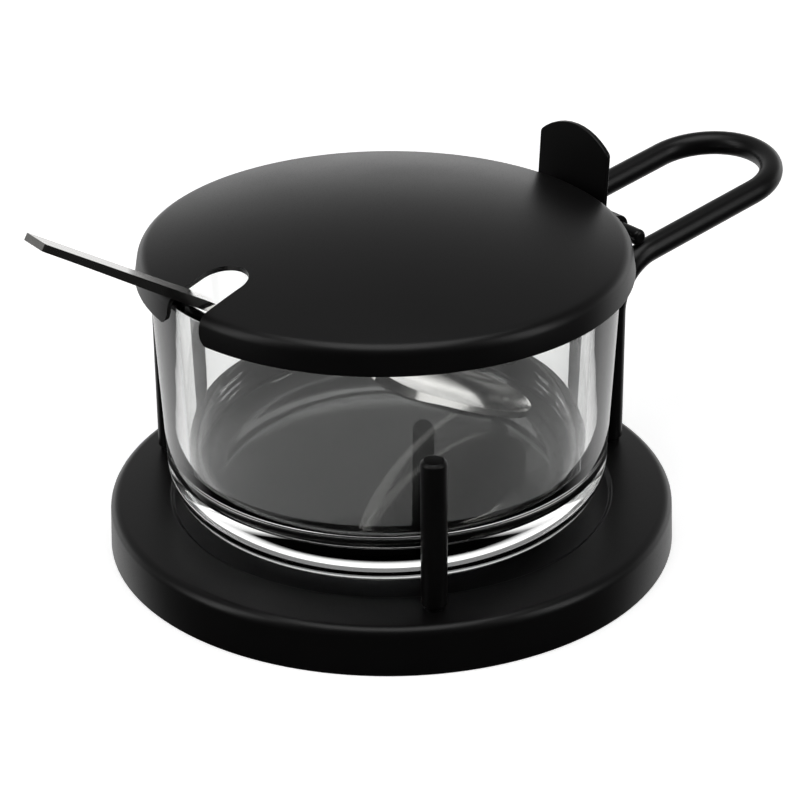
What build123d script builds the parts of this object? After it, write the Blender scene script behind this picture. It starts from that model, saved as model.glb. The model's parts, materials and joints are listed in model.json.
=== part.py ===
"""Sugar bowl: a glass bowl with a hinged lid and a spoon, on a round stand with a wire handle.

Millimetres. The origin is the centre of the stand's underside, +Z is up, and the handle points along +X.
The lid's spoon slot is opposite the handle. Every part is one node, written to parts/NODE.step.
"""

import os
from math import atan2, cos, hypot, radians, sin, sqrt, tan

from build123d import *

# How far a cutting shape runs past the face that it cuts.
CUT_MARGIN = 1.0

# Base plate: one pressed sheet with a turned-down wall and a shallow seat for the glass.
BASE_R = 60.0
BASE_TOP_R = 59.6
BASE_H = 10.4
BASE_SHEET = 1.2
BASE_CORNER = 2.2
BASE_HEM = 0.3
SEAT_R = 46.3
SEAT_DEPTH = 0.8
SEAT_CORNER = 0.6
SEAT_STEP = 0.4

# Rods: two side posts and the bent handle are cut from the same bar.
ROD_R = 2.65
POST_CIRCLE_R = 51.5
POST_ANGLE = 120.0
POST_TOP_Z = 43.2
POST_CHAMFER = 0.6
SPIGOT_R = 2.15
SPIGOT_H = 0.5

# Handle wire: two upright legs, a bend, two rising arms and a round end.
HANDLE_X = 50.2
HANDLE_HALF = 14.5
HANDLE_CORNER_Z = 51.25
HANDLE_BEND_R = 12.0
HANDLE_RISE = radians(8.5)
HANDLE_END_X = 91.8

# Screws that hold the rods from below.
SCREW_R = 1.45
SCREW_HOLE_R = 1.5
SCREW_LENGTH = 7.5
SCREW_HEAD_R = 2.8
SCREW_HEAD_H = 1.7
SCREW_HEAD_ROUND = 0.8
CROSS_LENGTH = 3.2
CROSS_WIDTH = 0.7
CROSS_DEPTH = 0.8
TAPPED_DEPTH = 7.5

# Hinge bar, welded across the two arms of the handle.
BAR_R = 1.75
BAR_HALF = 15.0
BAR_END_ROUND = 0.9
BAR_X = 57.3
WELD_SINK = 0.25

# Lid: one pressed sheet, shallow domed, with a turned-down rim and a slot for the spoon.
LID_X = -1.0
LID_R = 51.3
LID_WALL_TOP_R = 50.4
LID_RIM_Z = 61.5
LID_EDGE_Z = 67.1
LID_APEX_Z = 73.5
LID_CORNER = 2.8
LID_SHEET = 1.0
SLOT_SKEW = 8.0
SLOT_SHIFT = 0.5
SLOT_HALF = 5.3
SLOT_END_R = 39.6
SLOT_LIP_R = 3.0

# Thumb tab: a strip that stands behind the lid's rim and curls round the hinge bar below it.
TAB_HALF = 10.4
TAB_THICK = 1.1
TAB_TOP_Z = 79.6
TAB_SHOULDER_Z = 75.5
TAB_CORNER = 1.4
TAB_LEAN = radians(3.4)
TAB_BEND_Z = 60.0
TAB_BEND_R = 1.6
TAB_TOUCH = 0.1
TAB_STEP = 2.0
KNUCKLE_HALF = 8.0
KNUCKLE_CLEARANCE = 0.06
KNUCKLE_WRAP = 250.0

# Glass bowl: thick floor, round bottom corner and slightly flared wall.
GLASS_X = -1.0
GLASS_Z = BASE_H - SEAT_DEPTH + 0.1
GLASS_H = 56.0
GLASS_FOOT_R = 45.9
GLASS_TOP_R = 48.6
GLASS_CORNER = 11.0
GLASS_WALL_TOP = 2.8
GLASS_WALL_FOOT = 3.3
GLASS_FLOOR = 8.4
GLASS_INNER_CORNER = 8.5
GLASS_LIP_R = 1.2
GLASS_KICK_R = 31.0
GLASS_KICK_H = 0.6

# Spoon: an oval bowl and a flat strip handle, leaning from the glass floor over the rim.
SPOON_TIP_X = 34.6
SPOON_TIP_Y = -4.3
SPOON_TIP_Z = 20.1
SPOON_YAW = 3.4
BOWL_SLOPE = 24.8
BOWL_LENGTH = 46.0
BOWL_HALF = 14.5
BOWL_DEPTH = 6.5
BOWL_SHEET = 1.3
NECK_HALF = 3.2
STRIP_HALF = 3.6
STRIP_THICK = 2.0
NECK_RUN = 40.9
NECK_Z = 38.4
RIM_RUN = 81.5
RIM_Z = 67.2
STRIP_RUN = 117.6
STRIP_Z = 89.3
STRIP_BEND_R = 120.0
STRIP_END_ROUND = 1.2


def turned(outline, radii):
    """A solid of revolution about Z, from an outline of (r, z) corners and a rounding for each."""
    with BuildPart() as part:
        with BuildSketch(Plane.XZ):
            with BuildLine():
                FilletPolyline(*outline, radius=radii, close=True)
            make_face()
        revolve(axis=Axis.Z)
    return part.part


def post_centres():
    """The two side posts, spaced evenly round the stand from the handle."""
    return [
        (POST_CIRCLE_R * cos(radians(side * POST_ANGLE)), POST_CIRCLE_R * sin(radians(side * POST_ANGLE)))
        for side in (1, -1)
    ]


def leg_centres():
    """The two upright legs of the handle wire."""
    return [(HANDLE_X, side * HANDLE_HALF) for side in (1, -1)]


def base_plate():
    top = BASE_H
    seat = BASE_H - SEAT_DEPTH
    outer = turned(
        [(0, 0), (BASE_R, 0), (BASE_TOP_R, top), (SEAT_R + SEAT_CORNER, top), (SEAT_R, seat), (0, seat)],
        [0, BASE_HEM, BASE_CORNER, SEAT_CORNER, SEAT_CORNER, 0],
    )
    t = BASE_SHEET
    hollow = turned(
        [(0, -CUT_MARGIN), (BASE_R - t, -CUT_MARGIN), (BASE_TOP_R - t, top - t),
         (SEAT_R + SEAT_CORNER + SEAT_STEP, top - t), (SEAT_R + SEAT_STEP, seat - t), (0, seat - t)],
        [0, 0, BASE_CORNER - t, SEAT_CORNER, SEAT_CORNER, 0],
    )
    plate = outer - hollow
    for x, y in post_centres() + leg_centres():
        plate -= Pos(x, y, BASE_H) * Cylinder(SCREW_HOLE_R, 2 * (BASE_SHEET + CUT_MARGIN))
    return plate


def tapped_hole(x, y):
    """The blind hole for a screw, from the foot of a rod upwards."""
    hole = Cylinder(SCREW_HOLE_R, TAPPED_DEPTH + CUT_MARGIN, align=(Align.CENTER, Align.CENTER, Align.MIN))
    return Pos(x, y, BASE_H - CUT_MARGIN) * hole


def spigot(x, y):
    """The short, narrower foot that a rod stands on."""
    foot = Cylinder(SPIGOT_R, 2 * SPIGOT_H, align=(Align.CENTER, Align.CENTER, Align.MIN))
    return Pos(x, y, BASE_H) * foot


def post(x, y):
    length = POST_TOP_Z - BASE_H - SPIGOT_H
    rod = Cylinder(ROD_R, length, align=(Align.CENTER, Align.CENTER, Align.MIN))
    rod = chamfer(rod.edges().filter_by(GeomType.CIRCLE), POST_CHAMFER)
    return Pos(x, y, BASE_H + SPIGOT_H) * rod + spigot(x, y) - tapped_hole(x, y)


def screw(x, y):
    """A pan head screw from under the base plate, up into a rod."""
    under = BASE_H - BASE_SHEET
    head = Cylinder(SCREW_HEAD_R, SCREW_HEAD_H, align=(Align.CENTER, Align.CENTER, Align.MAX))
    head = fillet(head.edges().sort_by(Axis.Z)[0], SCREW_HEAD_ROUND)
    for angle in (0, 90):
        head -= Rot(0, 0, angle) * Pos(0, 0, -SCREW_HEAD_H) * Box(CROSS_LENGTH, CROSS_WIDTH, 2 * CROSS_DEPTH)
    shank = Cylinder(SCREW_R, SCREW_LENGTH, align=(Align.CENTER, Align.CENTER, Align.MIN))
    return Pos(x, y, under) * (head + shank)


def handle_path():
    """The wire's centre line: leg, bend, arm, round end, and back down the other side."""
    turn = radians(90) - HANDLE_RISE
    reach = HANDLE_BEND_R * tan(turn / 2)
    end_z = HANDLE_CORNER_Z + (HANDLE_END_X - HANDLE_X) * tan(HANDLE_RISE)
    middle = turn / 2
    bend_x = HANDLE_X + HANDLE_BEND_R
    bend_z = HANDLE_CORNER_Z - reach
    edges = []
    for side in (1, -1):
        y = side * HANDLE_HALF
        foot = Vector(HANDLE_X, y, BASE_H + SPIGOT_H)
        low = Vector(HANDLE_X, y, bend_z)
        mid = Vector(bend_x - HANDLE_BEND_R * cos(middle), y, bend_z + HANDLE_BEND_R * sin(middle))
        high = Vector(HANDLE_X + reach * cos(HANDLE_RISE), y, HANDLE_CORNER_Z + reach * sin(HANDLE_RISE))
        end = Vector(HANDLE_END_X, y, end_z)
        edges += [Line(foot, low), ThreePointArc(low, mid, high), Line(high, end)]
    tip = Vector(HANDLE_END_X + HANDLE_HALF * cos(HANDLE_RISE), 0, end_z + HANDLE_HALF * sin(HANDLE_RISE))
    ends = [Vector(HANDLE_END_X, side * HANDLE_HALF, end_z) for side in (1, -1)]
    return Wire(edges + [ThreePointArc(ends[0], tip, ends[1])])


def handle_wire():
    x, y = leg_centres()[0]
    with BuildPart() as part:
        with BuildSketch(Plane(origin=(x, y, BASE_H + SPIGOT_H))):
            Circle(ROD_R)
        sweep(path=handle_path())
    wire = part.part
    feet = wire.edges().filter_by(GeomType.CIRCLE).group_by(Axis.Z)[0]
    wire = chamfer(feet, POST_CHAMFER)
    for x, y in leg_centres():
        wire = wire + spigot(x, y) - tapped_hole(x, y)
    return wire


def bar_centre():
    """Where the hinge bar lies on the bend of the handle wire."""
    reach = HANDLE_BEND_R * tan((radians(90) - HANDLE_RISE) / 2)
    bend_x = HANDLE_X + HANDLE_BEND_R
    distance = HANDLE_BEND_R + ROD_R + BAR_R - WELD_SINK
    return BAR_X, HANDLE_CORNER_Z - reach + sqrt(distance**2 - (bend_x - BAR_X) ** 2)


def hinge_bar():
    x, z = bar_centre()
    bar = Rot(90, 0, 0) * Cylinder(BAR_R, 2 * BAR_HALF)
    bar = fillet(bar.edges().filter_by(GeomType.CIRCLE), BAR_END_ROUND)
    return Pos(x, 0, z) * bar


def lid_form(inset):
    """The lid's domed form as a solid, every face drawn in by the inset."""
    dome_r = (LID_WALL_TOP_R**2 + (LID_APEX_Z - LID_EDGE_Z) ** 2) / (2 * (LID_APEX_Z - LID_EDGE_Z))
    centre_z = LID_APEX_Z - dome_r

    def on_dome(r):
        return r, centre_z + sqrt((dome_r - inset) ** 2 - r**2)

    edge = on_dome(LID_WALL_TOP_R - inset)
    low = LID_RIM_Z - inset
    with BuildPart() as part:
        with BuildSketch(Plane.XZ):
            with BuildLine():
                ThreePointArc(on_dome(0), on_dome(LID_R / 2), edge)
                Polyline(edge, (LID_R - inset, low), (0, low), on_dome(0))
            corner = make_face().vertices().sort_by(Axis.X)[-2]
            fillet(corner, LID_CORNER - inset)
        revolve(axis=Axis.Z)
    return part.part


def spoon_slot():
    """The cutter for the slot: a round inner end and parallel sides, running out through the rim."""
    run = 2 * (LID_R - SLOT_END_R)
    with BuildPart() as cutter:
        with BuildSketch(Plane.XY.offset(LID_RIM_Z - CUT_MARGIN)):
            with Locations((LID_R - SLOT_END_R, 0)):
                Circle(SLOT_HALF)
            with Locations((LID_R - SLOT_END_R, 0)):
                Rectangle(run, 2 * SLOT_HALF, align=(Align.MAX, Align.CENTER))
        extrude(amount=LID_APEX_Z - LID_RIM_Z + 2 * CUT_MARGIN)
    return Pos(-LID_R, SLOT_SHIFT, 0) * Rot(0, 0, SLOT_SKEW) * cutter.part


def lid_shell():
    shell = lid_form(0) - lid_form(LID_SHEET) - spoon_slot()
    rim = shell.edges().group_by(Axis.Z)[0]
    lips = [edge for edge in rim if edge.length < 2 * LID_SHEET]
    return Pos(LID_X, 0, 0) * fillet(lips, SLOT_LIP_R)


def tab_outline():
    """The tab seen from behind: an arch-topped plate above, and a narrower knuckle strip below."""
    h, k = TAB_HALF, KNUCKLE_HALF
    wide_z, narrow_z = LID_RIM_Z + TAB_STEP / 2, LID_RIM_Z - TAB_STEP / 2
    with BuildSketch(Plane.YZ) as outline:
        with BuildLine():
            Polyline(
                (-h, TAB_SHOULDER_Z), (-h, wide_z), (-k, narrow_z), (-k, 0),
                (k, 0), (k, narrow_z), (h, wide_z), (h, TAB_SHOULDER_Z),
            )
            ThreePointArc((h, TAB_SHOULDER_Z), (0, TAB_TOP_Z), (-h, TAB_SHOULDER_Z))
        make_face()
        fillet(outline.vertices().group_by(Axis.Z)[-1], TAB_CORNER)
    return outline.sketch


def thumb_tab():
    bar_x, bar_z = bar_centre()
    mid_r = BAR_R + KNUCKLE_CLEARANCE + TAB_THICK / 2
    plate_x = LID_X + LID_R - TAB_TOUCH + TAB_THICK / 2 - (LID_RIM_Z - TAB_BEND_Z) * tan(TAB_LEAN)
    end_z = TAB_TOP_Z + CUT_MARGIN
    end_x = plate_x + (end_z - TAB_BEND_Z) * tan(TAB_LEAN)
    run_x = bar_x - plate_x
    run_z = bar_z - TAB_BEND_Z
    slope = atan2(run_z, run_x) + atan2(mid_r, sqrt(hypot(run_x, run_z) ** 2 - mid_r**2))
    start = slope + radians(90)
    touch = (bar_x + mid_r * cos(start), bar_z + mid_r * sin(start))
    wrap = radians(KNUCKLE_WRAP)
    half = (bar_x + mid_r * cos(start - wrap / 2), bar_z + mid_r * sin(start - wrap / 2))
    last = (bar_x + mid_r * cos(start - wrap), bar_z + mid_r * sin(start - wrap))
    with BuildPart() as part:
        with BuildSketch(Plane.XZ):
            with BuildLine():
                FilletPolyline((end_x, end_z), (plate_x, TAB_BEND_Z), touch, radius=TAB_BEND_R)
                ThreePointArc(touch, half, last)
            trace(line_width=TAB_THICK)
        extrude(amount=TAB_HALF, both=True)
    blank = extrude(tab_outline(), amount=LID_R + BAR_X)
    return part.part & blank


def glass_bowl():
    foot, top, floor = GLASS_Z, GLASS_Z + GLASS_H, GLASS_Z + GLASS_FLOOR
    outer = turned(
        [(0, foot), (GLASS_FOOT_R, foot), (GLASS_TOP_R, top), (0, top)], [0, GLASS_CORNER, GLASS_LIP_R, 0]
    )
    inner = turned(
        [(0, floor), (GLASS_FOOT_R - GLASS_WALL_FOOT, floor), (GLASS_TOP_R - GLASS_WALL_TOP, top), (0, top)],
        [0, GLASS_INNER_CORNER, 0, 0],
    )
    bowl = outer - inner
    lip = bowl.edges().group_by(Axis.Z)[-1].sort_by(SortBy.LENGTH)[0]
    bowl = fillet(lip, GLASS_LIP_R)
    low = foot - CUT_MARGIN
    kick = turned([(0, low), (GLASS_KICK_R, low), (GLASS_KICK_R, foot), (0, foot + GLASS_KICK_H)], 0)
    return Pos(GLASS_X, 0, 0) * (bowl - kick)


def spoon_strip():
    """The flat handle, drawn from the side along its run from the tip, then cut to its width."""
    with BuildPart() as part:
        with BuildSketch(Plane.XZ):
            with BuildLine():
                FilletPolyline((NECK_RUN, NECK_Z), (RIM_RUN, RIM_Z), (STRIP_RUN, STRIP_Z), radius=STRIP_BEND_R)
            trace(line_width=STRIP_THICK)
        extrude(amount=STRIP_HALF, both=True)
    with BuildPart() as width:
        with BuildSketch():
            Polygon(
                (0, -NECK_HALF), (NECK_RUN, -NECK_HALF), (RIM_RUN, -STRIP_HALF), (2 * STRIP_RUN, -STRIP_HALF),
                (2 * STRIP_RUN, STRIP_HALF), (RIM_RUN, STRIP_HALF), (NECK_RUN, NECK_HALF), (0, NECK_HALF),
                align=None,
            )
        extrude(amount=2 * STRIP_Z)
    strip = part.part & width.part
    end_corners = strip.faces().sort_by(Axis.X)[-1].edges().sort_by(SortBy.LENGTH)[:2]
    return fillet(end_corners, STRIP_END_ROUND)


def spoon_bowl():
    """The oval bowl: a half ellipsoid with the same wall all round, with its rim plane at z = 0."""
    outer = scale(Sphere(1), by=(BOWL_LENGTH / 2, BOWL_HALF, BOWL_DEPTH))
    t = BOWL_SHEET
    inner = scale(Sphere(1), by=(BOWL_LENGTH / 2 - t, BOWL_HALF - t, BOWL_DEPTH - t))
    above = Pos(0, 0, BOWL_LENGTH / 2) * Box(2 * BOWL_LENGTH, 2 * BOWL_LENGTH, BOWL_LENGTH)
    return outer - inner - above


def spoon():
    slope = radians(BOWL_SLOPE)
    half = BOWL_LENGTH / 2
    bowl = Pos(half * cos(slope), 0, SPOON_TIP_Z + half * sin(slope)) * Rot(0, -BOWL_SLOPE, 0) * spoon_bowl()
    whole = bowl + spoon_strip()
    return Pos(SPOON_TIP_X, SPOON_TIP_Y, 0) * Rot(0, 0, 180 - SPOON_YAW) * whole


def main():
    (left_x, left_y), (right_x, right_y) = post_centres()
    parts = {
        "base_plate": base_plate(),
        "side_post_left": post(left_x, left_y),
        "side_post_right": post(right_x, right_y),
        "post_screws": Compound(children=[screw(x, y) for x, y in post_centres()]),
        "handle_wire": handle_wire(),
        "handle_screws": Compound(children=[screw(x, y) for x, y in leg_centres()]),
        "hinge_bar": hinge_bar(),
        "lid_shell": lid_shell(),
        "thumb_tab": thumb_tab(),
        "glass_bowl": glass_bowl(),
        "spoon": spoon(),
    }
    os.makedirs("parts", exist_ok=True)
    for name, part in parts.items():
        export_step(part, f"parts/{name}.step")


main()
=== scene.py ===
import json
from math import asin, atan2, cos, hypot, pi, radians, sin, sqrt, tan

import bmesh
import bpy
from mathutils import Matrix, Quaternion, Vector


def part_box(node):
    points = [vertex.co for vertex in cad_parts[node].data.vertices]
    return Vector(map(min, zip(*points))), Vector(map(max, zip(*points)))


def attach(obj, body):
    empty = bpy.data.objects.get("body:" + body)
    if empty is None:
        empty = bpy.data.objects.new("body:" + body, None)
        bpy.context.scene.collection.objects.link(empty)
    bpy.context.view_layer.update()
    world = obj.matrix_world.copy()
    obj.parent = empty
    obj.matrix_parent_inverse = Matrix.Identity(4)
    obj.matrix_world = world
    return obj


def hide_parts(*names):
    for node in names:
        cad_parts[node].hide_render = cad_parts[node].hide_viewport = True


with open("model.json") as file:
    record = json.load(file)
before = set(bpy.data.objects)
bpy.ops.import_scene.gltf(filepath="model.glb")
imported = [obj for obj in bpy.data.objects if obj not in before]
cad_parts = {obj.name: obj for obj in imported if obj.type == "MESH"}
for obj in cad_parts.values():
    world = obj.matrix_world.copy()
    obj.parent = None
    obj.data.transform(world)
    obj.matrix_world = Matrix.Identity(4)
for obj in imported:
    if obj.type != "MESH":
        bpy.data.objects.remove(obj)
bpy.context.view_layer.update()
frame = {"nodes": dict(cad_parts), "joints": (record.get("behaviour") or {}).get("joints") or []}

# The sugar bowl's visible pieces. Sizes are in millimetres and become metres when a piece is finished.
MM = 0.001
ROUND_STEPS = 144
ROD_STEPS = 48
CORNER_STEPS = 8
MERGE = 0.0005
CUT_MARGIN = 1.0
SHARP_ANGLE = radians(34)
BEVEL_ANGLE = radians(50)

# Stand plate.
BASE_R = 60.0
BASE_TOP_R = 59.6
BASE_H = 10.4
BASE_SHEET = 1.2
BASE_CORNER = 2.2
BASE_HEM = 0.3
SEAT_R = 46.3
SEAT_DEPTH = 0.8
SEAT_CORNER = 0.6
SEAT_STEP = 0.4

# Rods, which are the posts and the handle wire.
ROD_R = 2.65
ROD_CHAMFER = 0.6
SPIGOT_R = 2.15
SPIGOT_H = 0.5
POST_TOP_Z = 43.2
HANDLE_X = 50.2
HANDLE_HALF = 14.5
HANDLE_CORNER_Z = 51.25
HANDLE_BEND_R = 12.0
HANDLE_RISE = radians(8.5)
HANDLE_END_X = 91.8
BEND_STEPS = 24
END_STEPS = 56
ROD_SHOULDER_ROUND = 0.2
ROD_EDGE_ROUND = 0.12
ROD_CORNER_STEPS = 3

# Hinge bar.
BAR_R = 1.75
BAR_HALF = 15.0
BAR_END_ROUND = 0.9

# Lid.
LID_X = -1.0
LID_R = 51.3
LID_WALL_TOP_R = 50.4
LID_RIM_Z = 61.5
LID_EDGE_Z = 67.1
LID_APEX_Z = 73.5
LID_CORNER = 2.8
LID_SHEET = 1.0
LID_HEM = 0.35
DOME_STEPS = 28
SLOT_SKEW = radians(8)
SLOT_SHIFT = 0.5
SLOT_HALF = 5.3
SLOT_END_R = 39.6
SLOT_LIP_R = 3.0
SLOT_EDGE = 0.16
SLOT_END_STEPS = 24
LIP_OVERCUT = 0.02

# Thumb tab.
TAB_HALF = 10.4
TAB_THICK = 1.1
TAB_TOP_Z = 79.6
TAB_SHOULDER_Z = 75.5
TAB_CORNER = 1.4
TAB_LEAN = radians(3.4)
TAB_WIDE_Z = 62.9
TAB_NARROW_Z = 61.5
TAB_BEND_Z = 60.0
TAB_BEND_R = 1.6
TAB_TOUCH = 0.1
TAB_EDGE = 0.2
TAB_EDGE_ANGLE = radians(60)
TAB_WAIST_ROUND = 0.8
TAB_ARCH_STEPS = 12
TAB_CORNER_STEPS = 5
TAB_BEND_STEPS = 12
KNUCKLE_HALF = 8.0
KNUCKLE_CLEARANCE = 0.06
KNUCKLE_WRAP = radians(250)
KNUCKLE_STEPS = 30

# Glass.
GLASS_X = -1.0
GLASS_GAP = 0.1
GLASS_FOOT_Z = BASE_H - SEAT_DEPTH + GLASS_GAP
GLASS_H = 56.0
GLASS_TOP_R = 48.6
GLASS_FOOT_R = 45.9
GLASS_CORNER = 11.0
GLASS_WALL_TOP = 2.8
GLASS_INNER_R = 42.6
GLASS_FLOOR = 8.4
GLASS_INNER_CORNER = 8.5
GLASS_LIP_R = 1.2
GLASS_KICK_R = 31.0
GLASS_KICK_H = 0.6
GLASS_CORNER_STEPS = 14

# Spoon.
SPOON_TIP = (34.6, -4.3, 20.1)
SPOON_YAW = radians(3.4)
BOWL_SLOPE = radians(24.8)
BOWL_RUN = 41.7
BOWL_HALF = 14.5
BOWL_DEPTH = 3.8
BOWL_SHEET = 1.3
BOWL_OVAL_POWER = 2.15
BOWL_HOLLOW_POWER = 1.5
TIP_TAPER = 2.0
NECK_HALF = 3.0
STRIP_HALF = 3.6
STRIP_THICK = 2.0
STRIP_TIP_THICK = 1.5
NECK_RUN = 40.9
NECK_Z = 38.4
RIM_RUN = 81.5
RIM_Z = 67.2
STRIP_RUN = 117.6
STRIP_END = 117.0
STRIP_END_ROUND = 1.6
STRIP_Z = 89.3
STRIP_TOP_SHARE = 0.6
STRIP_BEND_HALF = 6
NECK_RISE = (NECK_RUN - 9, NECK_RUN + 6)
NECK_FLARE = (NECK_RUN - 16, NECK_RUN + 2)
NECK_THICKENING = (NECK_RUN - 12, NECK_RUN)
SPOON_STEPS = (150, 24)
BOWL_STEPS_SHARE = 0.6
STRIP_CORNER_STEPS = 5
SPOON_EDGE = 0.3
SPOON_EDGE_ANGLE = radians(55)
SPOON_EDGE_STEPS = 3

# Camera and studio.
CAMERA_DISTANCE = 0.620
CAMERA_AZIMUTH = radians(-129.2)
CAMERA_HEIGHT = radians(29.3)
CAMERA_AIM = (0.00155, -0.00127, 0.0306)
CAMERA_ROLL = radians(-0.49)
CAMERA_LENS = 129.7
BACK_GLOW = 1.5
FRONT_GLOW = 0.02
CEILING_SHARE = 0.18
BELOW_SHARE = 0.55
BACK_SPAN = (0.2, 0.65)
CEILING_SPAN = (0.0, 0.35)
BELOW_SPAN = (-0.2, 0.0)
FLOOR_GLOW = 0.6
FLOOR_R = 3.0
FLOOR_STEPS = 96
LIGHT_AIM = (0, 0, 0.04)
LIGHTS = (
    ("overhead", (-0.1, -0.1, 1.3), (1.0, 1.0), 8),
    ("left_side", (-0.9, 0.35, 0.55), (0.3, 0.9), 3),
    ("right_side", (0.55, -0.95, 0.55), (0.3, 0.9), 3),
)


# ---- Finishes ----


class Level:
    """A value that varies over a surface. Python's operators add the Math nodes."""

    def __init__(self, finish, socket):
        self.finish = finish
        self.socket = socket

    def maths(self, operation, first, second):
        return self.finish.node("ShaderNodeMath", {"operation": operation}, {0: first, 1: second})

    def __add__(self, other):
        return self.maths("ADD", self, other)

    def __radd__(self, other):
        return self.maths("ADD", other, self)

    def __mul__(self, other):
        return self.maths("MULTIPLY", self, other)

    def __rmul__(self, other):
        return self.maths("MULTIPLY", other, self)

    def __pow__(self, other):
        return self.maths("POWER", self, other)

    def __rpow__(self, other):
        return self.maths("POWER", other, self)


class Finish:
    """A material with one Principled shader, built up node by node."""

    def __init__(self, name, **values):
        self.material = bpy.data.materials.new(name)
        self.material.use_nodes = True
        self.tree = self.material.node_tree
        self.shader = self.tree.nodes["Principled BSDF"]
        for socket, value in values.items():
            self.feed(self.shader, socket.replace("_", " "), value)
        self.place = self.node("ShaderNodeTexCoord", output="Object")

    def feed(self, node, socket, value):
        if isinstance(value, Level):
            self.tree.links.new(value.socket, node.inputs[socket])
        else:
            node.inputs[socket].default_value = value

    def node(self, kind, settings=None, inputs=None, output=0):
        node = self.tree.nodes.new(kind)
        for key, value in (settings or {}).items():
            setattr(node, key, value)
        for socket, value in (inputs or {}).items():
            self.feed(node, socket, value)
        return Level(self, node.outputs[output])

    def noise(self, scale, detail=2.0, stretch=(1, 1, 1), turn=(0, 0, 0)):
        """Noise of that many features per metre, stretched along the turned axes."""
        inputs = {"Vector": self.place, "Scale": stretch, "Rotation": turn}
        place = self.node("ShaderNodeMapping", None, inputs)
        return self.node("ShaderNodeTexNoise", None, {"Vector": place, "Scale": scale, "Detail": detail})

    def blend(self, share, low, high):
        """A colour between two, by share."""
        inputs = {"Factor": share, 6: low, 7: high}
        return self.node("ShaderNodeMix", {"data_type": "RGBA"}, inputs, output=2)

    def colour(self, share, low, high):
        """A base colour between two greys or near greys, by share."""
        self.feed(self.shader, "Base Color", self.blend(share, (*low, 1), (*high, 1)))

    def roughness(self, level):
        self.feed(self.shader, "Roughness", level)

    def relief(self, height, depth, strength=1.0):
        """A bump of that depth in metres on the surface."""
        inputs = {"Strength": strength, "Distance": depth, "Height": height}
        self.feed(self.shader, "Normal", self.node("ShaderNodeBump", None, inputs))


def black_coating():
    """Satin black stove coating: a fine orange peel, slow gloss changes and a few dull specks."""
    finish = Finish("black_coating", Specular_IOR_Level=0.3)
    peel = finish.noise(700, detail=1.0)
    cloud = finish.noise(45, detail=4.0)
    specks = finish.noise(4200, detail=1.0) ** 6.0
    finish.colour(cloud, (0.0016, 0.0015, 0.0016), (0.0034, 0.0031, 0.0033))
    finish.roughness(0.3 + cloud * 0.1 + specks * 0.6)
    finish.relief(peel, 0.00002, 0.03)
    return finish.material


def clear_glass():
    """Clear pressed glass: a fire-polished surface that is very slightly wavy."""
    tint = (0.93, 0.935, 0.93, 1)
    finish = Finish("clear_glass", Transmission_Weight=1.0, IOR=1.5, Roughness=0.0, Base_Color=tint)
    waves = finish.noise(28, detail=1.0, stretch=(1, 1, 0.5))
    ripples = finish.noise(140, detail=1.0)
    finish.relief(waves + ripples * 0.05, 0.0004, 0.2)
    return finish.material


def polished_steel():
    """Polished stainless steel with fine rubbing marks along the spoon and faint clouds of wear."""
    finish = Finish("polished_steel", Metallic=1.0)
    slope = atan2(RIM_Z - NECK_Z, RIM_RUN - NECK_RUN)
    marks = finish.noise(900, detail=3.0, stretch=(0.04, 1, 1), turn=(0, slope, SPOON_YAW))
    cloud = finish.noise(90, detail=3.0)
    finish.colour(cloud, (0.74, 0.73, 0.71), (0.83, 0.82, 0.80))
    finish.roughness(0.09 + cloud * 0.08 + marks * 0.06)
    finish.relief(marks, 0.000004, 0.5)
    return finish.material


def zinc_plate():
    """Zinc plate on the screws: bright, and a little uneven in tone and gloss."""
    finish = Finish("screw_zinc", Metallic=1.0)
    spots = finish.noise(1200, detail=4.0)
    finish.colour(spots, (0.42, 0.43, 0.45), (0.66, 0.66, 0.67))
    finish.roughness(0.26 + spots * 0.22)
    finish.relief(spots, 0.00002, 0.5)
    return finish.material


def studio_floor():
    """A pale, even floor that glows a little, so that it stays white."""
    finish = Finish("studio_floor", Roughness=0.85, Specular_IOR_Level=0.2, Emission_Strength=FLOOR_GLOW)
    finish.feed(finish.shader, "Emission Color", (1, 1, 1, 1))
    finish.colour(finish.noise(3.0), (0.88, 0.88, 0.88), (0.90, 0.90, 0.90))
    return finish.material


# ---- Shaping ----


def rounded_line(corners, radii, steps=CORNER_STEPS):
    """The (r, z) corners of an open line, each rounded by an arc of its own radius."""
    points = [Vector((r, 0, z)) for r, z in corners]
    line = []
    for i, (here, radius) in enumerate(zip(points, radii)):
        if radius == 0:
            line.append(here)
            continue
        back = (points[i - 1] - here).normalized()
        ahead = (points[i + 1] - here).normalized()
        half = back.angle(ahead) / 2
        centre = here + (back + ahead).normalized() * radius / sin(half)
        start = here + back * radius / tan(half) - centre
        end = here + ahead * radius / tan(half) - centre
        turn = start.angle(end)
        for k in range(steps + 1):
            share = k / steps
            line.append(centre + (start * sin((1 - share) * turn) + end * sin(share * turn)) / sin(turn))
    return line


def turned(line, steps=ROUND_STEPS):
    """A closed shape turned about Z from a line that starts and ends on the axis."""
    bm = bmesh.new()
    verts = [bm.verts.new(point) for point in line]
    edges = [bm.edges.new(pair) for pair in zip(verts, verts[1:])]
    bmesh.ops.spin(
        bm, geom=verts + edges, cent=(0, 0, 0), axis=(0, 0, 1), angle=2 * pi, steps=steps, use_merge=True
    )
    tidy(bm)
    return bm


def tidy(bm):
    """Doubles merged and faces turned outwards."""
    bmesh.ops.remove_doubles(bm, verts=bm.verts, dist=MERGE)
    bmesh.ops.dissolve_degenerate(bm, edges=bm.edges, dist=MERGE)
    bmesh.ops.recalc_face_normals(bm, faces=bm.faces)


def move(bm, x, y, z):
    bmesh.ops.translate(bm, vec=(x, y, z), verts=bm.verts)


def ring_verts(edges):
    return list({vert for edge in edges for vert in edge.verts})


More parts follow.
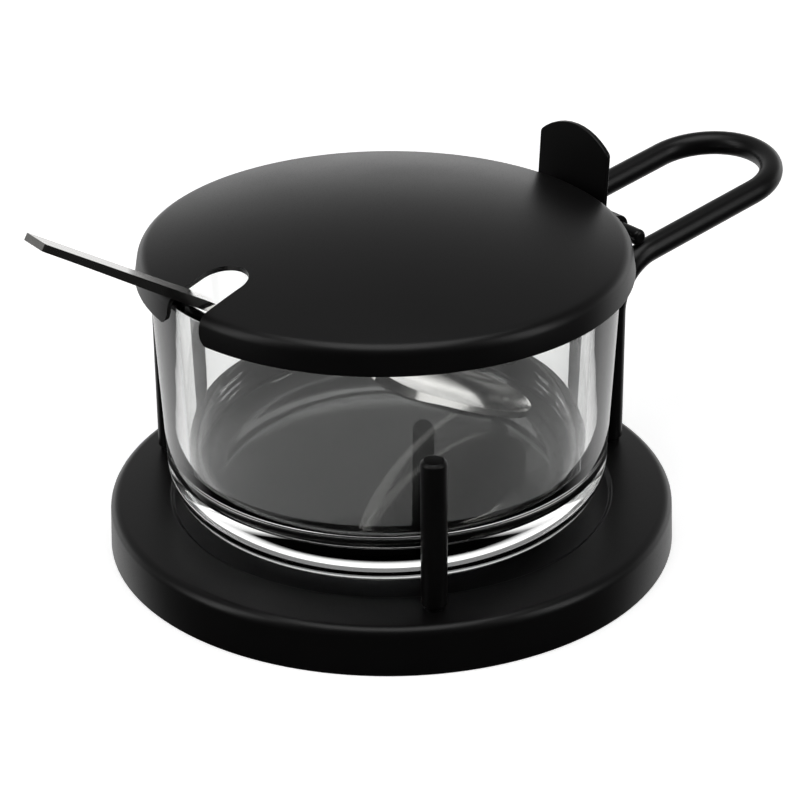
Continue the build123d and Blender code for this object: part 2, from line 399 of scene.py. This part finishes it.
def run(bm, edges, step):
    """Extends an open ring of edges by a straight step, and returns the new ring."""
    made = bmesh.ops.extrude_edge_only(bm, edges=edges)["geom"]
    verts = {item for item in made if isinstance(item, bmesh.types.BMVert)}
    bmesh.ops.translate(bm, vec=step, verts=list(verts))
    return [item for item in made if isinstance(item, bmesh.types.BMEdge) and set(item.verts) <= verts]


def widen(bm, edges, factor):
    """Scales a ring of edges about its own middle."""
    verts = ring_verts(edges)
    middle = sum((vert.co for vert in verts), Vector()) / len(verts)
    bmesh.ops.scale(bm, vec=(factor, factor, factor), space=Matrix.Translation(-middle), verts=verts)


def turn(bm, edges, centre, axis, angle, steps):
    """Extends an open ring of edges round an arc, and returns the new ring."""
    made = bmesh.ops.spin(
        bm, geom=ring_verts(edges) + edges, cent=centre, axis=axis, angle=angle, steps=steps
    )["geom_last"]
    return [item for item in made if isinstance(item, bmesh.types.BMEdge)]


def finish_piece(bm, name, body, material, nodes):
    """The shape as a smooth object in metres that rides on its body and stands for its CAD nodes."""
    bmesh.ops.scale(bm, vec=(MM, MM, MM), verts=bm.verts)
    mesh = bpy.data.meshes.new(name)
    bm.to_mesh(mesh)
    bm.free()
    mesh.materials.append(material)
    mesh.shade_smooth()
    mesh.set_sharp_from_angle(angle=SHARP_ANGLE)
    piece = bpy.data.objects.new(name, mesh)
    bpy.context.scene.collection.objects.link(piece)
    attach(piece, body)
    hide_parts(*nodes)
    return piece


def soften(piece, width, angle=BEVEL_ANGLE, segments=2):
    """A small bevel on the piece's sharp edges."""
    bevel = piece.modifiers.new("edge_softening", "BEVEL")
    bevel.width = width * MM
    bevel.segments = segments
    bevel.limit_method = "ANGLE"
    bevel.angle_limit = angle
    bevel.harden_normals = True


# ---- Pieces ----


def base_plate(material):
    top, seat, t = BASE_H, BASE_H - SEAT_DEPTH, BASE_SHEET
    step = SEAT_R + SEAT_CORNER
    line = rounded_line(
        [(0, seat), (SEAT_R, seat), (step, top), (BASE_TOP_R, top), (BASE_R, 0), (BASE_R - t, 0),
         (BASE_TOP_R - t, top - t), (step + SEAT_STEP, top - t), (SEAT_R + SEAT_STEP, seat - t),
         (0, seat - t)],
        [0, SEAT_CORNER, SEAT_CORNER, BASE_CORNER, BASE_HEM, BASE_HEM,
         BASE_CORNER - t, SEAT_CORNER, SEAT_CORNER, 0],
    )
    finish_piece(turned(line), "stand_plate", "stand", material, ["base_plate"])


def side_post(node, name, material):
    """A rod with a chamfered top, on a short narrow foot."""
    low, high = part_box(node)
    foot = BASE_H + SPIGOT_H
    neck = ROD_R - ROD_CHAMFER
    line = rounded_line(
        [(0, BASE_H), (SPIGOT_R, BASE_H), (SPIGOT_R, foot), (neck, foot), (ROD_R, foot + ROD_CHAMFER),
         (ROD_R, POST_TOP_Z - ROD_CHAMFER), (neck, POST_TOP_Z), (0, POST_TOP_Z)],
        [0, 0, 0, 0, ROD_SHOULDER_ROUND, ROD_SHOULDER_ROUND, ROD_EDGE_ROUND, 0], ROD_CORNER_STEPS,
    )
    bm = turned(line, ROD_STEPS)
    middle = (low + high) / 2 / MM
    move(bm, middle.x, middle.y, 0)
    finish_piece(bm, name, "stand", material, [node])


def handle_wire(material):
    """One bent rod: a leg, a bend, a rising arm, the round end, and back down the other side."""
    bm = bmesh.new()
    foot = BASE_H + SPIGOT_H
    angle = radians(90) - HANDLE_RISE
    reach = HANDLE_BEND_R * tan(angle / 2)
    bend_z = HANDLE_CORNER_Z - reach
    arm = Vector((cos(HANDLE_RISE), 0, sin(HANDLE_RISE)))
    arm_run = (HANDLE_END_X - HANDLE_X) / cos(HANDLE_RISE) - reach
    end_z = HANDLE_CORNER_Z + (HANDLE_END_X - HANDLE_X) * tan(HANDLE_RISE)
    bend_x = HANDLE_X + HANDLE_BEND_R
    neck = ROD_R - ROD_CHAMFER
    up = Vector((0, 0, 1))

    verts = bmesh.ops.create_circle(
        bm, cap_ends=True, segments=ROD_STEPS, radius=SPIGOT_R,
        matrix=Matrix.Translation((HANDLE_X, HANDLE_HALF, BASE_H)),
    )["verts"]
    ring = list({edge for vert in verts for edge in vert.link_edges})
    ring = run(bm, ring, up * SPIGOT_H)
    ring = run(bm, ring, Vector())
    widen(bm, ring, neck / SPIGOT_R)
    ring = run(bm, ring, up * ROD_CHAMFER)
    widen(bm, ring, ROD_R / neck)
    ring = run(bm, ring, up * (bend_z - foot - ROD_CHAMFER))
    ring = turn(bm, ring, (bend_x, HANDLE_HALF, bend_z), (0, 1, 0), angle, BEND_STEPS)
    ring = run(bm, ring, arm * arm_run)
    ring = turn(bm, ring, (HANDLE_END_X, 0, end_z), (arm.z, 0, -arm.x), pi, END_STEPS)
    ring = run(bm, ring, -arm * arm_run)
    ring = turn(bm, ring, (bend_x, -HANDLE_HALF, bend_z), (0, -1, 0), angle, BEND_STEPS)
    ring = run(bm, ring, -up * (bend_z - foot - ROD_CHAMFER))
    ring = run(bm, ring, -up * ROD_CHAMFER)
    widen(bm, ring, neck / ROD_R)
    ring = run(bm, ring, Vector())
    widen(bm, ring, SPIGOT_R / neck)
    ring = run(bm, ring, -up * SPIGOT_H)
    bmesh.ops.edgeloop_fill(bm, edges=ring)
    tidy(bm)
    finish_piece(bm, "handle_rod", "stand", material, ["handle_wire"])


def hinge_bar(material):
    line = rounded_line(
        [(0, -BAR_HALF), (BAR_R, -BAR_HALF), (BAR_R, BAR_HALF), (0, BAR_HALF)],
        [0, BAR_END_ROUND, BAR_END_ROUND, 0],
    )
    bm = turned(line, ROD_STEPS)
    bmesh.ops.rotate(bm, cent=(0, 0, 0), matrix=Matrix.Rotation(radians(90), 3, "X"), verts=bm.verts)
    hinge = hinge_point()
    move(bm, hinge.x, 0, hinge.z)
    finish_piece(bm, "hinge_rod", "stand", material, ["hinge_bar"])


def hinge_point():
    """The lid's hinge axis, from the record, in millimetres."""
    joint = next(joint for joint in frame["joints"] if joint["name"] == "lid_hinge")
    return Vector(joint["pos_m"]) / MM


def lid_line():
    """The lid's section: the dome, the wall and the same again on the inside."""
    rise = LID_APEX_Z - LID_EDGE_Z
    dome_r = (LID_WALL_TOP_R**2 + rise**2) / (2 * rise)
    centre_z = LID_APEX_Z - dome_r
    corners, radii = [], []
    reach = LID_WALL_TOP_R - LID_CORNER

    def dome(inset, share):
        r = reach * share
        return r, centre_z + sqrt((dome_r - inset) ** 2 - r**2)

    t = LID_SHEET
    inner_top = LID_WALL_TOP_R - t
    for k in range(DOME_STEPS + 1):
        corners.append(dome(0, k / DOME_STEPS))
        radii.append(0)
    corners += [(LID_WALL_TOP_R, LID_EDGE_Z), (LID_R, LID_RIM_Z), (LID_R - t, LID_RIM_Z)]
    corners.append((inner_top, centre_z + sqrt((dome_r - t) ** 2 - inner_top**2)))
    radii += [LID_CORNER, LID_HEM, LID_HEM, LID_CORNER - t]
    for k in range(DOME_STEPS, -1, -1):
        corners.append(dome(t, k / DOME_STEPS))
        radii.append(0)
    return rounded_line(corners, radii)


def slot_cutter():
    """A long block with one round end, which makes the slot."""
    bm = bmesh.new()
    length = 2 * (LID_R - SLOT_END_R) + SLOT_HALF
    height = 3 * (LID_APEX_Z - LID_RIM_Z)
    bmesh.ops.create_cube(bm, size=1)
    bmesh.ops.scale(bm, vec=(length, 2 * SLOT_HALF, height), verts=bm.verts)
    inner_end = [
        edge for edge in bm.edges if all(vert.co.x > 0 for vert in edge.verts)
        and abs(edge.verts[0].co.z - edge.verts[1].co.z) > height / 2
    ]
    bmesh.ops.bevel(
        bm, geom=inner_end, offset=SLOT_HALF - MERGE, affect="EDGES", segments=SLOT_END_STEPS,
        profile=0.5, material=-1,
    )
    move(bm, LID_R - SLOT_END_R + SLOT_HALF - length / 2, 0, LID_EDGE_Z)
    return bm


def lip_cutter():
    """A low block with hollowed shoulders, which rounds the slot's two corners at the rim."""
    bm = bmesh.new()
    inner, outer = SLOT_HALF - CUT_MARGIN, SLOT_HALF + SLOT_LIP_R
    top = LID_RIM_Z + SLOT_LIP_R
    radius = SLOT_LIP_R + LIP_OVERCUT
    half = [(outer, LID_RIM_Z - CUT_MARGIN)]
    for k in range(CORNER_STEPS + 1):
        angle = radians(90) * k / CORNER_STEPS
        half.append((outer - radius * sin(angle), top - radius * cos(angle)))
    half.append((inner, top))
    outline = half + [(-y, z) for y, z in reversed(half)]
    face = bm.faces.new([bm.verts.new((0, y, z)) for y, z in outline])
    made = bmesh.ops.extrude_face_region(bm, geom=[face])["geom"]
    moved = [item for item in made if isinstance(item, bmesh.types.BMVert)]
    bmesh.ops.translate(bm, vec=(2 * SLOT_HALF, 0, 0), verts=moved)
    bmesh.ops.recalc_face_normals(bm, faces=bm.faces)
    move(bm, -SLOT_HALF, 0, 0)
    return bm


def cut(piece, cutter):
    """Takes the cutter's shape out of the piece for good."""
    turn_round = Matrix.Rotation(SLOT_SKEW, 4, "Z")
    cutter.transform(Matrix.Translation((LID_X - LID_R, SLOT_SHIFT, 0)) @ turn_round)
    cutter.transform(Matrix.Scale(MM, 4))
    mesh = bpy.data.meshes.new("cutter")
    cutter.to_mesh(mesh)
    cutter.free()
    tool = bpy.data.objects.new("cutter", mesh)
    bpy.context.scene.collection.objects.link(tool)
    modifier = piece.modifiers.new("cut", "BOOLEAN")
    modifier.object = tool
    modifier.solver = "EXACT"
    apply_modifiers(piece)
    bpy.data.objects.remove(tool)


def apply_modifiers(piece):
    """Makes the modifiers' result the piece's own mesh."""
    graph = bpy.context.evaluated_depsgraph_get()
    result = bpy.data.meshes.new_from_object(piece.evaluated_get(graph))
    piece.modifiers.clear()
    piece.data = result
    result.shade_smooth()
    result.set_sharp_from_angle(angle=SHARP_ANGLE)


def lid_shell(material):
    bm = turned(lid_line())
    move(bm, LID_X, 0, 0)
    piece = finish_piece(bm, "lid_dome", "lid", material, ["lid_shell"])
    cut(piece, slot_cutter())
    cut(piece, lip_cutter())
    soften(piece, SLOT_EDGE)


def tab_outline():
    """The tab seen from behind, from its narrow foot round its arched top."""
    rise = TAB_TOP_Z - TAB_SHOULDER_Z
    arch_r = (TAB_HALF**2 + rise**2) / (2 * rise)
    spread = asin(TAB_HALF / arch_r)
    corners = [(KNUCKLE_HALF, TAB_NARROW_Z), (TAB_HALF, TAB_WIDE_Z), (TAB_HALF, TAB_SHOULDER_Z)]
    radii = [0, TAB_WAIST_ROUND, TAB_CORNER]
    for k in range(1, TAB_ARCH_STEPS):
        angle = spread * (1 - 2 * k / TAB_ARCH_STEPS)
        corners.append((arch_r * sin(angle), TAB_TOP_Z - arch_r * (1 - cos(angle))))
        radii.append(0)
    corners += [(-TAB_HALF, TAB_SHOULDER_Z), (-TAB_HALF, TAB_WIDE_Z), (-KNUCKLE_HALF, TAB_NARROW_Z)]
    radii += [TAB_CORNER, TAB_WAIST_ROUND, 0]
    return rounded_line(corners, radii, TAB_CORNER_STEPS)


def thumb_tab(material):
    """The arched plate leans back from the rim. Its foot bends over and curls round the hinge bar."""
    hinge = hinge_point()
    front = LID_X + LID_R - TAB_TOUCH
    bm = bmesh.new()
    outline = [bm.verts.new((front, point.x, point.z)) for point in tab_outline()]
    face = bm.faces.new(outline)
    made = bmesh.ops.extrude_face_region(bm, geom=[face])["geom"]
    moved = [item for item in made if isinstance(item, bmesh.types.BMVert)]
    bmesh.ops.translate(bm, vec=(TAB_THICK, 0, 0), verts=moved)
    lean = Matrix.Rotation(TAB_LEAN, 3, "Y")
    bmesh.ops.rotate(bm, cent=(front, 0, LID_RIM_Z), matrix=lean, verts=bm.verts)
    bm.normal_update()
    foot = min(bm.faces, key=lambda item: item.calc_center_median().z)
    middle = foot.calc_center_median()
    ring = list(foot.edges)
    bmesh.ops.delete(bm, geom=[foot], context="FACES_ONLY")

    down = Vector((-sin(TAB_LEAN), 0, -cos(TAB_LEAN)))
    bend = middle + down * ((middle.z - TAB_BEND_Z) / cos(TAB_LEAN))
    mid_r = BAR_R + KNUCKLE_CLEARANCE + TAB_THICK / 2
    run_x, run_z = hinge.x - bend.x, hinge.z - bend.z
    tangent = sqrt(hypot(run_x, run_z) ** 2 - mid_r**2)
    slope = atan2(run_z, run_x) + atan2(mid_r, tangent)
    angle = radians(90) + TAB_LEAN + slope
    reach = TAB_BEND_R * tan(angle / 2)
    along = Vector((cos(slope), 0, sin(slope)))
    straight = (bend - middle).length - reach
    ring = run(bm, ring, down * straight)
    side = Vector((cos(TAB_LEAN), 0, -sin(TAB_LEAN)))
    ring = turn(bm, ring, middle + down * straight + side * TAB_BEND_R, (0, -1, 0), angle, TAB_BEND_STEPS)
    ring = run(bm, ring, along * (tangent - reach))
    ring = turn(bm, ring, hinge, (0, 1, 0), KNUCKLE_WRAP, KNUCKLE_STEPS)
    bmesh.ops.edgeloop_fill(bm, edges=ring)
    tidy(bm)
    piece = finish_piece(bm, "thumb_plate", "lid", material, ["thumb_tab"])
    soften(piece, TAB_EDGE, TAB_EDGE_ANGLE)


def glass_bowl(material):
    foot, top, floor = GLASS_FOOT_Z, GLASS_FOOT_Z + GLASS_H, GLASS_FOOT_Z + GLASS_FLOOR
    line = rounded_line(
        [(0, foot + GLASS_KICK_H), (GLASS_KICK_R, foot), (GLASS_FOOT_R, foot), (GLASS_TOP_R, top),
         (GLASS_TOP_R - GLASS_WALL_TOP, top), (GLASS_INNER_R, floor), (0, floor)],
        [0, 0, GLASS_CORNER, GLASS_LIP_R, GLASS_LIP_R, GLASS_INNER_CORNER, 0], GLASS_CORNER_STEPS,
    )
    bm = turned(line)
    move(bm, GLASS_X, 0, 0)
    finish_piece(bm, "glass_dish", "glass", material, ["glass_bowl"])


def smooth_step(low, high, value):
    share = min(1.0, max(0.0, (value - low) / (high - low)))
    return share * share * (3 - 2 * share)


def spoon_centre(x):
    """Height of the spoon's top surface on its middle line, without the hollow."""
    rim = SPOON_TIP[2] + x * tan(BOWL_SLOPE)
    low = NECK_Z + (x - NECK_RUN) * (RIM_Z - NECK_Z) / (RIM_RUN - NECK_RUN)
    high = RIM_Z + (x - RIM_RUN) * (STRIP_Z - RIM_Z) / (STRIP_RUN - RIM_RUN)
    bend = smooth_step(RIM_RUN - STRIP_BEND_HALF, RIM_RUN + STRIP_BEND_HALF, x)
    strip = low + (high - low) * bend + STRIP_THICK * STRIP_TOP_SHARE
    return rim + (strip - rim) * smooth_step(*NECK_RISE, x)


def spoon_half_width(x):
    along = 2 * x / BOWL_RUN - 1
    bowl = BOWL_HALF * sqrt(max(0.0, 1 - abs(along) ** BOWL_OVAL_POWER))
    neck = NECK_HALF + (STRIP_HALF - NECK_HALF) * smooth_step(NECK_RUN, RIM_RUN, x)
    return max(bowl, neck * smooth_step(*NECK_FLARE, x))


def spoon_hollow(x, y):
    """Depth of the bowl's hollow at a point of the spoon seen from above."""
    spread = (2 * x / BOWL_RUN - 1) ** 2 + (y / BOWL_HALF) ** 2
    return BOWL_DEPTH * max(0.0, 1 - spread**BOWL_HOLLOW_POWER) if x < BOWL_RUN else 0.0


def spoon_thickness(x):
    handle = STRIP_THICK + (STRIP_TIP_THICK - STRIP_THICK) * smooth_step(RIM_RUN, STRIP_RUN, x)
    thick = BOWL_SHEET + (handle - BOWL_SHEET) * smooth_step(*NECK_THICKENING, x)
    return thick * min(1.0, 0.5 + x / (2 * TIP_TAPER))


def at_strip_corner(point):
    return point.x > STRIP_END - MERGE and abs(point.y) > STRIP_HALF - MERGE


def spoon(material):
    """A grid laid along the spoon, hollowed at the bowl, then given its thickness."""
    bm = bmesh.new()
    bmesh.ops.create_grid(bm, x_segments=SPOON_STEPS[0], y_segments=SPOON_STEPS[1], size=0.5)
    for vert in bm.verts:
        share = vert.co.x + 0.5
        if share < BOWL_STEPS_SHARE:
            x = BOWL_RUN / 2 * (1 - cos(pi * share / BOWL_STEPS_SHARE))
        else:
            x = BOWL_RUN + (STRIP_END - BOWL_RUN) * (share - BOWL_STEPS_SHARE) / (1 - BOWL_STEPS_SHARE)
        y = 2 * vert.co.y * spoon_half_width(x)
        vert.co = Vector((x, y, spoon_centre(x) - spoon_hollow(x, y)))
    top = list(bm.faces)
    made = bmesh.ops.extrude_face_region(bm, geom=top)["geom"]
    for vert in made:
        if isinstance(vert, bmesh.types.BMVert):
            x = vert.co.x
            slope = atan2(spoon_centre(x + 0.5) - spoon_centre(x - 0.5), 1)
            vert.co += Vector((sin(slope), 0, -cos(slope))) * spoon_thickness(x)
    corners = [edge for edge in bm.edges if all(at_strip_corner(vert.co) for vert in edge.verts)]
    bmesh.ops.bevel(
        bm, geom=corners, offset=STRIP_END_ROUND, affect="EDGES", segments=STRIP_CORNER_STEPS,
        profile=0.5, material=-1,
    )
    tidy(bm)
    place = Matrix.Translation((SPOON_TIP[0], SPOON_TIP[1], 0))
    bm.transform(place @ Matrix.Rotation(pi - SPOON_YAW, 4, "Z"))
    piece = finish_piece(bm, "table_spoon", "spoon_body", material, ["spoon"])
    soften(piece, SPOON_EDGE, SPOON_EDGE_ANGLE, SPOON_EDGE_STEPS)


# ---- Studio ----


def camera():
    data = bpy.data.cameras.new("camera")
    data.lens = CAMERA_LENS
    data.sensor_width = 36
    data.clip_start = 0.01
    eye = bpy.data.objects.new("camera", data)
    flat = cos(CAMERA_HEIGHT)
    place = Vector((flat * cos(CAMERA_AZIMUTH), flat * sin(CAMERA_AZIMUTH), sin(CAMERA_HEIGHT)))
    eye.location = place * CAMERA_DISTANCE
    look = (Vector(CAMERA_AIM) - eye.location).to_track_quat("-Z", "Y")
    eye.rotation_mode = "QUATERNION"
    eye.rotation_quaternion = look @ Quaternion((0, 0, 1), CAMERA_ROLL)
    bpy.context.scene.collection.objects.link(eye)
    bpy.context.scene.camera = eye


def soft_light(name, place, size, power):
    data = bpy.data.lights.new(name, "AREA")
    data.shape = "RECTANGLE"
    data.size, data.size_y = size
    data.energy = power
    light = bpy.data.objects.new(name, data)
    light.location = place
    light.rotation_mode = "QUATERNION"
    light.rotation_quaternion = (Vector(LIGHT_AIM) - Vector(place)).to_track_quat("-Z", "Y")
    bpy.context.scene.collection.objects.link(light)


def surroundings():
    """A bright backdrop low behind the bowl, dimmer overhead and underneath, and a dark room in front."""
    world = bpy.data.worlds.new("studio")
    world.use_nodes = True
    bpy.context.scene.world = world
    tree = world.node_tree
    place = tree.nodes.new("ShaderNodeTexCoord")
    split = tree.nodes.new("ShaderNodeSeparateXYZ")
    tree.links.new(place.outputs["Generated"], split.inputs[0])
    behind = tree.nodes.new("ShaderNodeVectorMath")
    behind.operation = "DOT_PRODUCT"
    behind.inputs[1].default_value = (-cos(CAMERA_AZIMUTH), -sin(CAMERA_AZIMUTH), 0)
    tree.links.new(place.outputs["Generated"], behind.inputs[0])
    back = fade(tree, behind.outputs["Value"], BACK_SPAN, (FRONT_GLOW, BACK_GLOW))
    low = fade(tree, split.outputs["Z"], CEILING_SPAN, (1.0, CEILING_SHARE))
    under = fade(tree, split.outputs["Z"], BELOW_SPAN, (BELOW_SHARE, 1.0))
    glow = product(tree, product(tree, back, low), under)
    tree.links.new(glow, tree.nodes["Background"].inputs["Strength"])
    tree.nodes["Background"].inputs["Color"].default_value = (1, 1, 1, 1)


def product(tree, first, second):
    node = tree.nodes.new("ShaderNodeMath")
    node.operation = "MULTIPLY"
    tree.links.new(first, node.inputs[0])
    tree.links.new(second, node.inputs[1])
    return node.outputs[0]


def fade(tree, value, span, levels):
    """A smooth change from one level to another over that span of the value."""
    node = tree.nodes.new("ShaderNodeMapRange")
    node.interpolation_type = "SMOOTHSTEP"
    for socket, number in zip(("From Min", "From Max", "To Min", "To Max"), (*span, *levels)):
        node.inputs[socket].default_value = number
    tree.links.new(value, node.inputs["Value"])
    return node.outputs[0]


def floor(material):
    bm = bmesh.new()
    bmesh.ops.create_circle(bm, cap_ends=True, segments=FLOOR_STEPS, radius=FLOOR_R)
    mesh = bpy.data.meshes.new("studio_floor")
    bm.to_mesh(mesh)
    bm.free()
    mesh.materials.append(material)
    plane = bpy.data.objects.new("studio_floor", mesh)
    bpy.context.scene.collection.objects.link(plane)
    plane.visible_glossy = False


def main():
    coating = black_coating()
    base_plate(coating)
    side_post("side_post_left", "left_post", coating)
    side_post("side_post_right", "right_post", coating)
    handle_wire(coating)
    hinge_bar(coating)
    lid_shell(coating)
    thumb_tab(coating)
    glass_bowl(clear_glass())
    spoon(polished_steel())
    zinc = zinc_plate()
    for node in ("post_screws", "handle_screws"):
        for slot in frame["nodes"][node].material_slots:
            slot.material = zinc
    floor(studio_floor())
    surroundings()
    for name, place, size, power in LIGHTS:
        soft_light(name, place, size, power)
    camera()
    bpy.context.scene.view_settings.view_transform = "Standard"


main()
bpy.context.view_layer.update()
